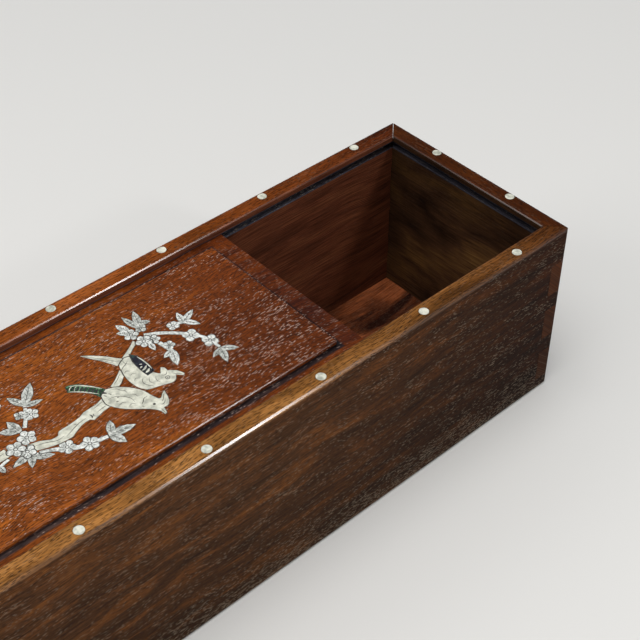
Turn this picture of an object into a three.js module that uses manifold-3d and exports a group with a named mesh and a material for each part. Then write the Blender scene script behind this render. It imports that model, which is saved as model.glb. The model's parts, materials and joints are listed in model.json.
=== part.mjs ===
// Box with a sliding lid, in oiled hardwood, with shell inlaid in the lid and round the rim.
// Millimetres, +Z up. +X runs to the closed end and +Y to the back.
// The origin is at the centre of the foot of the case.
import * as THREE from 'three';
import Module from 'manifold-3d';
import { mergeVertices } from 'three/addons/utils/BufferGeometryUtils.js';

const wasm = await Module();
wasm.setup();

// Case
const caseLength = 290;
const caseWidth = 80;
const caseHeight = 69;
const wall = 6.4;
const arris = 1.4;
const innerArris = 0.9;
const arrisSteps = 3;
const glueLine = 0.1;

// Bottom board, let into a rabbet in the four walls
const bottomThickness = 5;
const bottomRabbet = 3;

// Corner joints: through fingers below, a mitre at the rim
const rimMitre = 7;
const footPin = 5;
const fingerCount = 3;
const pinHeight = 6;

// Groove and lid
const lipThickness = 2.4;
const grooveHeight = 2.4;
const grooveDepth = 3.1;
const runningGap = 0.1;
const liftGap = 0.3;
const sideGap = 0.2;
const fieldMargin = 11;
const fieldDrop = 0.6;
const fieldArris = 0.7;
const lidOpening = 79;

// Round shell dots in the rim
const dotDiameter = 3.1;
const dotThickness = 1.6;
const frontDotInset = 2.8;
const backDotInset = 2.5;
const backDotShift = 0.9;
const endDotInset = 2.3;
const dotPitch = 41;
const dotsPerSide = 7;
const endDotSpacing = 33;
const dotSides = 16;
const dotGap = 0.1;

// Shell inlay in the lid's field
const shellThickness = 0.9;
const shellGap = 0.13;
const pieceGap = 0.22;
const mitreGap = 0.25;
const petalDepth = 0.3;
const curveSteps = 2;
const leafSteps = 4;

// Sizes that follow
const halfLength = caseLength / 2;
const halfWidth = caseWidth / 2;
const innerHalfLength = halfLength - wall;
const innerHalfWidth = halfWidth - wall;
const mitreBase = caseHeight - rimMitre;
const fingerPitch = (mitreBase - footPin) / fingerCount;
const fingerHeight = fingerPitch - pinHeight;
const grooveTop = caseHeight - lipThickness;
const grooveFloor = grooveTop - grooveHeight;
const grooveHalfWidth = innerHalfWidth + grooveDepth;
const grooveEnd = innerHalfLength + grooveDepth;
const lidUnderside = grooveFloor + runningGap;
const tongueTop = grooveTop - liftGap;
const tongueHalfWidth = grooveHalfWidth - sideGap;
const tongueEnd = grooveEnd - sideGap;
const fieldHalfWidth = halfWidth - fieldMargin;
const fieldEnd = halfLength - fieldMargin;
const fieldTop = caseHeight - fieldDrop;
const railShoulder = tongueTop - sideGap;
const past = 1;

function finish(name, color, roughness) {
  const material = new THREE.MeshStandardMaterial({ color, roughness, metalness: 0 });
  material.name = name;
  return material;
}

const caseWood = finish('case_rosewood', 0x5a3018, 0.4);
const lidWood = finish('lid_rosewood', 0x7a3e1c, 0.38);
const paleShell = finish('mother_of_pearl', 0xe6e0d2, 0.25);
const darkShell = finish('abalone', 0x24423a, 0.25);

// A closed geometry becomes a solid that can be cut and joined
function toSolid(geometry) {
  geometry.deleteAttribute('normal');
  geometry.deleteAttribute('uv');
  const merged = mergeVertices(geometry);
  const vertProperties = new Float32Array(merged.attributes.position.array);
  const triVerts = new Uint32Array(merged.index.array);
  return new wasm.Manifold(new wasm.Mesh({ numProp: 3, vertProperties, triVerts }));
}

function toMesh(name, solid, material) {
  const { vertProperties, triVerts } = solid.getMesh();
  const geometry = new THREE.BufferGeometry();
  geometry.setAttribute('position', new THREE.BufferAttribute(vertProperties, 3));
  geometry.setIndex(new THREE.BufferAttribute(triVerts, 1));
  geometry.computeVertexNormals();
  const mesh = new THREE.Mesh(geometry, material);
  mesh.name = name;
  return mesh;
}

function block(x0, x1, y0, y1, z0, z1) {
  const geometry = new THREE.BoxGeometry(Math.abs(x1 - x0), Math.abs(y1 - y0), Math.abs(z1 - z0));
  geometry.translate((x0 + x1) / 2, (y0 + y1) / 2, (z0 + z1) / 2);
  return toSolid(geometry);
}

// An upright prism over an outline of Vector2 points
function prism(outline, z0, z1) {
  const settings = { depth: z1 - z0, bevelEnabled: false };
  const geometry = new THREE.ExtrudeGeometry(new THREE.Shape(outline), settings);
  geometry.translate(0, 0, z0);
  return toSolid(geometry);
}

function point([x, y]) {
  return new THREE.Vector2(x, y);
}

// An upright outline of the box with its corners rounded
function roundedPlan(x, y, radius) {
  const plan = new THREE.Shape();
  plan.absarc(x - radius, y - radius, radius, 0, Math.PI / 2);
  plan.absarc(radius - x, y - radius, radius, Math.PI / 2, Math.PI);
  plan.absarc(radius - x, radius - y, radius, Math.PI, 1.5 * Math.PI);
  plan.absarc(x - radius, radius - y, radius, 1.5 * Math.PI, 2 * Math.PI);
  return plan.getPoints(arrisSteps);
}

// A block about the middle of the box, given by its half sizes, with all its arrises eased
function easedBlock(halfX, halfY, z0, z1, radius) {
  const x = halfX - radius;
  const y = halfY - radius;
  const outline = new THREE.Shape([[-x, -y], [x, -y], [x, y], [-x, y]].map(point));
  const geometry = new THREE.ExtrudeGeometry(outline, {
    depth: z1 - z0 - 2 * radius,
    bevelEnabled: true,
    bevelThickness: radius,
    bevelSize: radius,
    bevelSegments: arrisSteps,
  });
  geometry.translate(0, 0, z0 + radius);
  const upright = prism(roundedPlan(halfX, halfY, radius), z0 - past, z1 + past);
  return toSolid(geometry).intersect(upright);
}

const easedBox = easedBlock(halfLength, halfWidth, 0, caseHeight, arris);

// The cut that rounds the rim's inner arris, run along one axis over a length.
// The arris is at a distance from the middle, and the wood lies on its positive or negative side.
function innerArrisCut(arrisPlace, woodSign, alongX) {
  const section = [
    [arrisPlace - woodSign * past, caseHeight + past],
    [arrisPlace - woodSign * past, caseHeight - innerArris],
  ];
  for (let i = 0; i <= arrisSteps; i += 1) {
    const angle = ((i / arrisSteps) * Math.PI) / 2;
    const across = woodSign * innerArris * (1 - Math.cos(angle));
    section.push([arrisPlace + across, caseHeight - innerArris * (1 - Math.sin(angle))]);
  }
  section.push([arrisPlace + woodSign * innerArris, caseHeight + past]);
  const reach = (alongX ? halfLength : halfWidth) + past;
  const settings = { depth: 2 * reach, bevelEnabled: false };
  const geometry = new THREE.ExtrudeGeometry(new THREE.Shape(section.map(point)), settings);
  geometry.translate(0, 0, -reach);
  const up = new THREE.Vector3(0, 0, 1);
  const across = alongX ? new THREE.Vector3(0, 1, 0) : new THREE.Vector3(1, 0, 0);
  geometry.applyMatrix4(new THREE.Matrix4().makeBasis(across, up, across.clone().cross(up)));
  return toSolid(geometry);
}

// The half of a rim corner that belongs to the end piece, drawn back by a gap from the mitre
function endHalf(endSign, sideSign, gap, z0, z1) {
  const outline = [
    [endSign * halfLength, sideSign * (halfWidth - gap)],
    [endSign * (innerHalfLength + gap), sideSign * innerHalfWidth],
    [endSign * (innerHalfLength + gap), sideSign * (innerHalfWidth - past)],
    [endSign * halfLength, sideSign * (innerHalfWidth - past)],
  ];
  return prism(outline.map(point), z0, z1);
}

// The cut that clears the end piece's half of a rim corner out of a side board
function mitreCut(endSign, sideSign, z0, z1) {
  const outline = [
    [endSign * (halfLength + past), sideSign * (halfWidth + past)],
    [endSign * innerHalfLength, sideSign * innerHalfWidth],
    [endSign * innerHalfLength, sideSign * (innerHalfWidth - past)],
    [endSign * (halfLength + past), sideSign * (innerHalfWidth - past)],
  ];
  return prism(outline.map(point), z0, z1);
}

function grooveVoid() {
  return block(-halfLength - past, grooveEnd, -grooveHalfWidth, grooveHalfWidth, grooveFloor, grooveTop);
}

function bottomVoid() {
  const x = innerHalfLength + bottomRabbet;
  const y = innerHalfWidth + bottomRabbet;
  return block(-x, x, -y, y, -past, bottomThickness + glueLine);
}

// Heights of the end board's fingers, which show on the side boards' faces
function fingerBands() {
  return Array.from({ length: fingerCount }, (_, i) => {
    const start = footPin + i * fingerPitch;
    return [start, start + fingerHeight];
  });
}

// Heights of the side board's pins, which show on the end boards' faces
function pinBands() {
  const bands = fingerBands();
  const starts = [-past, ...bands.map((band) => band[1])];
  const ends = [...bands.map((band) => band[0]), mitreBase];
  return starts.map((start, i) => [start, ends[i]]);
}

function sideBoard(sideSign) {
  const outer = sideSign * halfWidth;
  const inner = sideSign * innerHalfWidth;
  let board = block(-halfLength, halfLength, outer, inner, 0, caseHeight);
  for (const endSign of [-1, 1]) {
    for (const [low, high] of fingerBands()) {
      const slotStart = endSign * (innerHalfLength - glueLine);
      const slotEnd = endSign * (halfLength + past);
      const slotOuter = outer + sideSign * past;
      const slotInner = inner - sideSign * past;
      board = board.subtract(block(slotStart, slotEnd, slotOuter, slotInner, low, high));
    }
  }
  board = board.subtract(mitreCut(1, sideSign, mitreBase, caseHeight + past));
  board = board.subtract(mitreCut(-1, sideSign, mitreBase, grooveFloor));
  board = board.subtract(mitreCut(-1, sideSign, railShoulder, caseHeight + past));
  board = board.subtract(innerArrisCut(inner, sideSign, true));
  return board.subtract(grooveVoid()).subtract(bottomVoid()).intersect(easedBox);
}

function endBoard(endSign, top) {
  const outer = endSign * halfLength;
  const inner = endSign * innerHalfLength;
  let board = block(outer, inner, -halfWidth, halfWidth, 0, mitreBase);
  for (const sideSign of [-1, 1]) {
    for (const [low, high] of pinBands()) {
      const slotInner = sideSign * (innerHalfWidth - glueLine);
      const slotOuter = sideSign * (halfWidth + past);
      const slotX0 = outer + endSign * past;
      const slotX1 = inner - endSign * past;
      const slot = block(slotX0, slotX1, slotInner, slotOuter, low - glueLine, high + glueLine);
      board = board.subtract(slot);
    }
  }
  const panelHalf = innerHalfWidth - glueLine;
  board = board.add(block(outer, inner, -panelHalf, panelHalf, mitreBase - past, top));
  for (const sideSign of [-1, 1]) {
    board = board.add(endHalf(endSign, sideSign, mitreGap, mitreBase + glueLine, top));
  }
  board = board.subtract(innerArrisCut(inner, endSign, false));
  return board.subtract(grooveVoid()).subtract(bottomVoid()).intersect(easedBox);
}

function bottomBoard() {
  const x = innerHalfLength + bottomRabbet - glueLine;
  const y = innerHalfWidth + bottomRabbet - glueLine;
  return block(-x, x, -y, y, 0, bottomThickness);
}

function lidPanel() {
  const y = tongueHalfWidth;
  const tongue = block(-halfLength, tongueEnd, -y, y, lidUnderside, tongueTop);
  return tongue.add(easedBlock(fieldEnd, fieldHalfWidth, lidUnderside, fieldTop, fieldArris));
}

// The strip across the lid's outer end, mitred to meet the rim of the case when shut
function lidEndRail() {
  const outline = [
    [-halfLength, -halfWidth + sideGap],
    [-innerHalfLength, -innerHalfWidth + sideGap],
    [-innerHalfLength, innerHalfWidth - sideGap],
    [-halfLength, halfWidth - sideGap],
  ];
  const rail = prism(outline.map(point), tongueTop, caseHeight).intersect(easedBox);
  return rail.subtract(innerArrisCut(-innerHalfLength, -1, false));
}

// Rim dots

function dotOutline(x, y, radius) {
  return Array.from({ length: dotSides }, (_, i) => {
    const angle = ((i + 0.5) / dotSides) * 2 * Math.PI;
    return new THREE.Vector2(x + radius * Math.cos(angle), y + radius * Math.sin(angle));
  });
}

// A dot is filed down with the rim, so it follows the eased arris
function dotSolid(x, y) {
  const disc = prism(dotOutline(x, y, dotDiameter / 2), caseHeight - dotThickness, caseHeight);
  return disc.intersect(easedBox);
}

function dotPocket(x, y) {
  const floor = caseHeight - dotThickness - dotGap;
  return prism(dotOutline(x, y, dotDiameter / 2 + dotGap), floor, caseHeight + past);
}

function sideDotPlaces(y, shift) {
  return Array.from({ length: dotsPerSide }, (_, i) => {
    return [(i - (dotsPerSide - 1) / 2) * dotPitch + shift, y];
  });
}

function endDotPlaces(endSign) {
  return [-1, 1].map((sign) => [endSign * (halfLength - endDotInset), (sign * endDotSpacing) / 2]);
}

function pocketed(solid, places) {
  return places.reduce((rest, [x, y]) => rest.subtract(dotPocket(x, y)), solid);
}

// Lid inlay. A place on the field is [u, v]: u from its edge at the closed end, v from its front edge.

function place([u, v]) {
  return new THREE.Vector2(fieldEnd - u, v - fieldHalfWidth);
}

// A closed outline of smooth runs that meet in sharp points: each run starts where the last one ended
function smoothOutline(runs) {
  const points = [];
  for (const run of runs) {
    const curve = new THREE.SplineCurve(run.map(place));
    points.push(...curve.getPoints((run.length - 1) * curveSteps).slice(0, -1));
  }
  return points;
}

function leaf(base, tip, width) {
  const start = place(base);
  const end = place(tip);
  const across = new THREE.Vector2(start.y - end.y, end.x - start.x).setLength(width);
  const middle = start.clone().lerp(end, 0.45);
  const left = new THREE.QuadraticBezierCurve(start, middle.clone().add(across), end);
  const right = new THREE.QuadraticBezierCurve(end, middle.clone().sub(across), start);
  return [...left.getPoints(leafSteps).slice(0, -1), ...right.getPoints(leafSteps).slice(0, -1)];
}

function blossom(centre, radius, turn, petals = 5) {
  const middle = place(centre);
  const steps = petals * 4;
  return Array.from({ length: steps }, (_, i) => {
    const angle = (i / steps) * 2 * Math.PI;
    const dip = petalDepth * (1 - Math.abs(Math.cos((petals * angle) / 2)));
    const reach = radius * (1 - dip);
    const x = middle.x + reach * Math.cos(angle + turn);
    return new THREE.Vector2(x, middle.y + reach * Math.sin(angle + turn));
  });
}

// A branch along stops [u, v, width]
function branch(stops) {
  const curve = new THREE.SplineCurve(stops.map(place));
  const steps = (stops.length - 1) * curveSteps;
  const left = [];
  const right = [];
  for (let i = 0; i <= steps; i += 1) {
    const t = i / steps;
    const along = t * (stops.length - 1);
    const before = Math.min(Math.floor(along), stops.length - 2);
    const width = THREE.MathUtils.lerp(stops[before][2], stops[before + 1][2], along - before);
    const at = curve.getPoint(t);
    const tangent = curve.getTangent(t);
    const side = new THREE.Vector2(-tangent.y, tangent.x).setLength(width / 2);
    left.push(at.clone().add(side));
    right.unshift(at.clone().sub(side));
  }
  return [...left, ...right];
}

// The same outline, moved out by a gap on every side
function grown(outline, gap) {
  const turn = THREE.ShapeUtils.isClockWise(outline) ? -1 : 1;
  return outline.map((corner, i) => {
    const last = outline[(i + outline.length - 1) % outline.length];
    const next = outline[(i + 1) % outline.length];
    const before = corner.clone().sub(last).normalize();
    const after = next.clone().sub(corner).normalize();
    const normal = new THREE.Vector2(before.y + after.y, -before.x - after.x).normalize();
    const slant = Math.max(Math.abs(normal.x * after.y - normal.y * after.x), 0.5);
    return corner.clone().addScaledVector(normal, (turn * gap) / slant);
  });
}

function plate(outlines, gap, z0, z1) {
  return outlines.map((outline) => prism(grown(outline, gap), z0, z1)).reduce((a, b) => a.add(b));
}

// Shell pieces as [name, material, outlines]. One named earlier lies over one named later.
const birds = [
  ['upper_bird_wing', darkShell, [smoothOutline([
    [[48.2, 35.4], [47, 33.6], [46.5, 30.6], [46.5, 27.8], [46.9, 25.5]],
    [[46.9, 25.5], [49.3, 25.4]],
    [[49.3, 25.4], [49.5, 28.6], [49.2, 32.6], [48.2, 35.4]],
  ])]],
  ['upper_bird_body', paleShell, [smoothOutline([
    [[50.2, 35.4], [53, 34], [53.9, 31.4], [54.7, 28], [54.5, 23.8], [53, 20.8], [50.4, 19.8],
      [48.2, 19.1], [46, 18.3], [44.3, 18.8], [43.4, 20.2]],
    [[43.4, 20.2], [41.9, 18.5]],
    [[41.9, 18.5], [41.2, 19]],
    [[41.2, 19], [42.1, 21.4], [44.1, 23.1]],
    [[44.1, 23.1], [44, 24.5], [44.8, 25.4]],
    [[44.8, 25.4], [45.7, 24.3], [46.3, 23.4]],
    [[46.3, 23.4], [47.2, 24.6], [48, 26.8], [48.2, 31], [48.9, 35]],
    [[48.9, 35], [50.2, 35.4]],
  ])]],
  ['upper_bird_tail', paleShell, [smoothOutline([
    [[59.2, 44.4], [57.4, 43.2], [55.2, 41], [53.2, 38.8], [51.8, 36.7], [50.6, 35.4]],
    [[50.6, 35.4], [53.6, 34]],
    [[53.6, 34], [54.7, 36.4], [55.8, 38.7], [57.4, 41.2], [59.2, 44.4]],
  ])]],
  ['lower_bird_body', paleShell, [smoothOutline([
    [[55, 9.9], [55.2, 11.8], [56.7, 14], [58.8, 15.9], [61.8, 18.6], [63.8, 21.3], [64.8, 24],
      [64, 27.2]],
    [[64, 27.2], [61.6, 28.6]],
    [[61.6, 28.6], [59.4, 27.7], [57.2, 26], [55.4, 23.8], [53.9, 21], [53.5, 18.8], [52.8, 16]],
    [[52.8, 16], [52, 15.7], [50.9, 16.7], [49.6, 17.4]],
    [[49.6, 17.4], [50.2, 15.2], [51, 13.3], [52.2, 12.2], [53.6, 12.2]],
    [[53.6, 12.2], [54.2, 10]],
    [[54.2, 10], [55, 9.9]],
  ])]],
  ['lower_bird_tail', darkShell, [smoothOutline([
    [[64.3, 26.8], [65.2, 29.5], [67.4, 32.4], [70.2, 34.7]],
    [[70.2, 34.7], [69.3, 35.5]],
    [[69.3, 35.5], [69.7, 36.3], [68.9, 36.9]],
    [[68.9, 36.9], [66.4, 35.6], [63.8, 32.6], [61.6, 28.9]],
    [[61.6, 28.9], [64.3, 26.8]],
  ])]],
];

const nearBlossoms = [
  ['blossom_top_back', paleShell, [
    blossom([43, 41.9], 2.4, 0.9),
    leaf([42.4, 43], [44, 48.3], 2.5),
    leaf([43, 43.2], [45.9, 45.2], 2),
  ]],
  ['blossom_top_front', paleShell, [
    blossom([41.8, 37.3], 2.6, 0.4),
    leaf([41, 36], [41.6, 31.9], 1.9),
  ]],
  ['blossom_top_right', paleShell, [blossom([39.2, 35.9], 2, 0.9)]],
  ['blossom_left_back', paleShell, [blossom([87.9, 27.8], 2.8, 0.2)]],
  ['blossom_left_front', paleShell, [blossom([92.5, 26.2], 2.8, 0.7)]],
  ['blossom_left_middle', paleShell, [blossom([90.6, 23.4], 2.5, 0.4)]],
];

const nearBranches = [
  ['leaves_top', paleShell, [
    blossom([39.2, 42.4], 1.9, 0.3, 4),
    leaf([39.7, 42.6], [40.6, 49.9], 2.1),
    leaf([38.9, 43], [36.4, 49.9], 2.5),
    leaf([38.8, 44.8], [35.2, 42.9], 2.1),
  ]],
  ['twig_right', paleShell, [
    branch([[40.4, 39, 2], [37.4, 37.6, 1.5], [35.2, 36.1, 1.3], [33.2, 34.2, 1.3], [31.4, 32.4, 1.2],
      [30, 30.4, 1.2], [28.4, 28.2, 1.1], [27.3, 25.4, 1.1], [27, 20.8, 1]]),
    blossom([30.1, 30.2], 2.7, 0.75, 4),
    blossom([27.3, 24.8], 2.6, 0.62, 4),
  ]],
  ['leaves_right_end', paleShell, [
    leaf([26.5, 20.3], [31.2, 18.7], 1.9),
    leaf([26.9, 20.7], [29.3, 14.4], 2.5),
    leaf([27.6, 20.6], [22.9, 16.9], 2.2),
  ]],
  ['twig_right_back', paleShell, [
    branch([[31.5, 36.8, 1.1], [30, 36.7, 1.1], [28.2, 36.4, 1.1]]),
    blossom([31.5, 36.9], 2, 0.75, 4),
    leaf([28.5, 35.4], [27.2, 40.8], 2.2),
    leaf([29.2, 35.8], [22.6, 38.7], 2.3),
    leaf([28.4, 37.2], [24.9, 32.1], 2.2),
  ]],
  ['twig_hanging', paleShell, [
    branch([[38.9, 33.9, 1.5], [38.6, 31.4, 1.2], [38.4, 28.6, 1]]),
    blossom([37.4, 31.1], 1.9, 0.8),
    leaf([37.8, 29], [41.8, 27.8], 1.9),
    leaf([37.7, 29.5], [40.7, 22.8], 2.8),
  ]],
  ['branch_between_birds', paleShell, [
    branch([[59.4, 27.6, 2.2], [57.4, 28.6, 2.2], [55.6, 29.9, 2], [53.6, 31.4, 2]]),
  ]],
  ['branch_top', paleShell, [
    branch([[50.2, 35.1, 1.6], [48.2, 36.2, 1.4], [46.2, 37.4, 1.2], [43.8, 38.8, 1.5]]),
  ]],
  ['trunk', paleShell, [smoothOutline([
    [[89.4, 25.4], [86.2, 24.5], [83.4, 22.8], [81.2, 22.8]],
    [[81.2, 22.8], [80.2, 24], [77, 24.1], [73, 24.6], [71.2, 25.4], [67, 25.6], [64, 26.6]],
    [[64, 26.6], [63.6, 22.3]],
    [[63.6, 22.3], [67, 22], [70.6, 21], [71.4, 21.9], [74.5, 21.6], [78.6, 19.7]],
    [[78.6, 19.7], [82.4, 20], [86, 21], [89.4, 22.4]],
    [[89.4, 22.4], [89.4, 25.4]],
  ])]],
  ['twig_front', paleShell, [
    branch([[88.4, 21, 1], [86.4, 20.1, 1.1], [84.6, 19, 1.4], [82.2, 17.4, 1.8], [79.6, 15.6, 1.6],
      [77, 14.7, 1.6], [74.4, 14.1, 1.5], [71.4, 13.6, 1.1]]),
    blossom([81.8, 17.7], 2.6, 0.6),
    blossom([76.6, 14.7], 2.8, 0.2),
  ]],
  ['leaves_front', paleShell, [
    leaf([70.6, 13.2], [67.6, 18.2], 2.6),
    leaf([71, 13.8], [63.1, 12.2], 2.9),
    leaf([70.8, 14.6], [68.8, 8.5], 3),
  ]],
  ['leaves_left_front', paleShell, [
    leaf([90, 22.4], [96.6, 21.1], 2.4),
    leaf([89.6, 22.8], [92.9, 17.6], 2.4),
    leaf([91.4, 21.6], [85.6, 17.7], 2.7),
  ]],
  ['leaves_left_back', paleShell, [
    leaf([88, 30], [88.8, 36.4], 3),
    leaf([87.4, 30.8], [92.8, 34.4], 2.7),
  ]],
  ['twig_back', paleShell, [
    branch([[86.4, 31.2, 1.2], [84.8, 33.2, 1.1], [83.4, 35.2, 1.1], [82.2, 37.4, 1]]),
    blossom([84.9, 36], 1.7, 0.5, 4),
    blossom([82.2, 34.4], 2.3, 0.1),
  ]],
  ['leaves_back', paleShell, [
    leaf([81.4, 37.8], [83.9, 44.1], 2.4),
    leaf([81.9, 38.2], [75.6, 44.9], 3.3),
    leaf([82.6, 38.2], [76.6, 37], 2),
  ]],
];

const farBranches = [
  ['trunk_far_1', paleShell, [
    branch([[94.8, 26.6, 3.2], [101, 26.6, 3.4], [107, 27.6, 4.2], [110, 27.2, 3.6], [118, 26.4, 4.6],
      [126, 24.4, 4.4]]),
  ]],
  ['trunk_far_2', paleShell, [
    branch([[126.3, 24.3, 4.4], [133, 21.6, 5.4], [138, 20.4, 4.6], [146, 18.6, 5.6], [153, 18.6, 4.8],
      [160, 19, 5.6]]),
  ]],
  ['trunk_far_3', paleShell, [
    branch([[160.3, 19, 5.6], [167, 18.8, 6.4], [173, 17.8, 5.6], [181, 14.6, 7], [188, 12.2, 6.4],
      [195, 8.4, 8.6]]),
  ]],
  ['rock', paleShell, [smoothOutline([
    [[190.5, 3.4], [192, 4.6], [196.5, 6], [199.5, 11.5]],
    [[199.5, 11.5], [202.5, 15.4], [206.5, 12.8]],
    [[206.5, 12.8], [210, 14.2], [213.5, 9.4]],
    [[213.5, 9.4], [218, 9.2], [221, 3.4]],
    [[221, 3.4], [190.5, 3.4]],
  ])]],
  ['twig_far_front', paleShell, [
    branch([[95.8, 24.3, 0.9], [99.6, 23.4, 1], [104, 20.8, 1.2], [108.4, 17, 1]]),
    leaf([99, 23.8], [99, 20.9], 1.8),
    blossom([104, 20.7], 2.5, 0.5),
    leaf([107.4, 17.6], [113.4, 17.4], 2.4),
    leaf([107.8, 18], [110.8, 12.2], 2.6),
    leaf([108.6, 17.8], [105.2, 13.4], 2.1),
  ]],
  ['twig_far_back', paleShell, [
    branch([[100.6, 28.9, 1.6], [98.4, 32.6, 1.4], [95.6, 37, 1.2], [92.4, 41, 1]]),
    blossom([97.6, 34], 2.6, 0.5),
    leaf([93, 40.4], [86.3, 43], 2.5),
    leaf([92.6, 40.2], [91.6, 47.4], 2.5),
    leaf([91.8, 40.6], [97.2, 43.6], 2.2),
  ]],
  ['bough_back', paleShell, [
    branch([[118.4, 29.2, 2.2], [128, 36, 2], [140, 41, 1.7], [153, 43, 1.4], [166, 41, 1.1]]),
    blossom([129, 36.4], 2.8, 0.4),
    blossom([142, 41.6], 2.7, 0.9),
    blossom([155, 43], 2.4, 0.1),
    leaf([164.6, 41.2], [171.6, 44], 2.5),
    leaf([164.6, 41.4], [173.4, 39.4], 2.4),
    leaf([165.4, 42], [168.6, 36], 2.4),
  ]],
  ['bough_far', paleShell, [
    branch([[176.6, 21, 2.2], [186, 29, 2], [198, 34, 1.7], [211, 35, 1.4], [222, 31.6, 1.1]]),
    blossom([187, 29.4], 2.8, 0.2),
    blossom([200, 34.4], 2.6, 0.6),
    blossom([212, 35], 2.4, 1),
    leaf([220.6, 32], [228.6, 33.6], 2.5),
    leaf([220.6, 32.4], [228.4, 28.8], 2.4),
    leaf([221.6, 32.8], [221.4, 26], 2.4),
  ]],
  ['twig_far', paleShell, [
    branch([[141, 16, 1.6], [148, 12, 1.5], [158, 8.8, 1.1]]),
    blossom([149, 11.9], 2.6, 0.5),
    leaf([156.6, 9.2], [164, 11.4], 2.4),
    leaf([156.6, 9.6], [164.4, 6.6], 2.4),
    leaf([157.6, 9.8], [158.4, 4], 2.2),
  ]],
];

const inlay = [...birds, ...nearBlossoms, ...nearBranches, ...farBranches];

function inlayPieces() {
  const base = fieldTop - shellThickness;
  const laid = [];
  return inlay.map(([name, material, outlines]) => {
    const whole = plate(outlines, 0, base, fieldTop);
    const piece = laid.reduce((rest, over) => rest.subtract(over), whole);
    laid.push(plate(outlines, pieceGap, base - past, fieldTop + past));
    return toMesh(name, piece, material);
  });
}

function inlayPocket() {
  const floor = fieldTop - shellThickness - glueLine;
  return plate(inlay.flatMap(([, , outlines]) => outlines), shellGap, floor, fieldTop + past);
}

function buildCase() {
  const box = new THREE.Group();
  const dots = new THREE.Group();
  const frontDots = sideDotPlaces(frontDotInset - halfWidth, 0);
  const backDots = sideDotPlaces(halfWidth - backDotInset, backDotShift);
  const boards = [
    ['front_side', sideBoard(-1), frontDots, 'dot_front'],
    ['back_side', sideBoard(1), backDots, 'dot_back'],
    ['closed_end', endBoard(1, caseHeight), endDotPlaces(1), 'dot_closed_end'],
  ];
  for (const [name, board, places, dotName] of boards) {
    box.add(toMesh(name, pocketed(board, places), caseWood));
    places.forEach(([x, y], i) => dots.add(toMesh(`${dotName}_${i + 1}`, dotSolid(x, y), paleShell)));
  }
  box.add(toMesh('open_end', endBoard(-1, grooveFloor), caseWood));
  box.add(toMesh('bottom_board', bottomBoard(), caseWood));
  box.add(dots);
  return box;
}

function buildLid() {
  const lid = new THREE.Group();
  const railDots = endDotPlaces(-1);
  lid.add(toMesh('lid_panel', lidPanel().subtract(inlayPocket()), lidWood));
  lid.add(toMesh('lid_end_rail', pocketed(lidEndRail(), railDots), lidWood));
  railDots.forEach(([x, y], i) => lid.add(toMesh(`dot_rail_${i + 1}`, dotSolid(x, y), paleShell)));
  lid.add(...inlayPieces());
  lid.position.x = -lidOpening;
  return lid;
}

const group = new THREE.Group();
group.add(buildCase(), buildLid());
export default group;
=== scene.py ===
"""Dresses a rosewood box with a sliding lid, inlaid with mother-of-pearl and abalone.

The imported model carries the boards, the lid and the shell plates at their real size. This
script eases their arrises, gives each one its finish, engraves the shell, and sets the floor,
the lights and the camera. Lengths are in metres, +X runs to the closed end and +Y to the back.
"""

import json
import logging
import math
from dataclasses import dataclass, field
from enum import Enum

import bmesh
import bpy
from mathutils import Matrix, Vector


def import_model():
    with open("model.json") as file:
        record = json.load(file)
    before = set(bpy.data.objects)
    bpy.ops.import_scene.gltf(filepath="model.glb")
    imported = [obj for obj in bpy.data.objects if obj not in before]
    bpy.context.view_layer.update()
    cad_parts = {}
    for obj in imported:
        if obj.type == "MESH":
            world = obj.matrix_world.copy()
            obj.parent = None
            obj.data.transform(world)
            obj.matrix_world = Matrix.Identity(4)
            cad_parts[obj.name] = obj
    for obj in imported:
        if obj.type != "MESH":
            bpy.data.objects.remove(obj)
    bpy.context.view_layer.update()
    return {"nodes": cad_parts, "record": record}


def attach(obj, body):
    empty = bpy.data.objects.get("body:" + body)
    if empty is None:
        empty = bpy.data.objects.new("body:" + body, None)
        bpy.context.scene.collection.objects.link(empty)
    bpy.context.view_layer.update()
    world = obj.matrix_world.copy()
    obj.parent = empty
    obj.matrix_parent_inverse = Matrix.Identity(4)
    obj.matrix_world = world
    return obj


LOG = logging.getLogger("sliding_lid_box")
MM = 0.001

Socket = bpy.types.NodeSocket
Node = bpy.types.Node
Outputs = bpy.types.NodeOutputs
Tree = bpy.types.NodeTree
Material = bpy.types.Material
Place = tuple[float, float]
Triple = tuple[float, float, float]

# Sockets of the map range node: the value, its range, and what the range becomes.
VALUE, LOW, HIGH, LEAST, MOST = range(5)
# Sockets of the mix node: the factor, two numbers, two colours and the mixed colour.
FACTOR, NUMBER_1, NUMBER_2, COLOUR_1, COLOUR_2, MIXED = 0, 2, 3, 6, 7, 2

# The case in millimetres. A mask reaches a little way into the wood, to take in its arrises.
CASE_HALF = (145.0, 40.0)
CASE_HEIGHT = 69.0
WALL = 6.4
MASK_REACH = 0.2
RIM_HEIGHTS = (67.5, 68.3)
GROOVE_HEIGHTS = (64.0, 66.8)
GROOVE_HALF_WIDTH = 36.9
GROOVE_END = 141.9


class Grain(Enum):
    """The way the wood fibres run in a board."""

    ALONG_BOX = 0.0
    ACROSS_BOX = math.pi / 2


def srgb(code: str) -> tuple[float, float, float, float]:
    """Turns an sRGB hex colour into linear values.

    Args:
        code: Six hex digits, such as "7a3e1c".

    Returns:
        Linear red, green and blue, with an alpha of 1.
    """
    parts = [int(code[i : i + 2], 16) / 255 for i in (0, 2, 4)]
    linear = [c / 12.92 if c <= 0.04045 else ((c + 0.055) / 1.055) ** 2.4 for c in parts]
    return (linear[0], linear[1], linear[2], 1.0)


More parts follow.
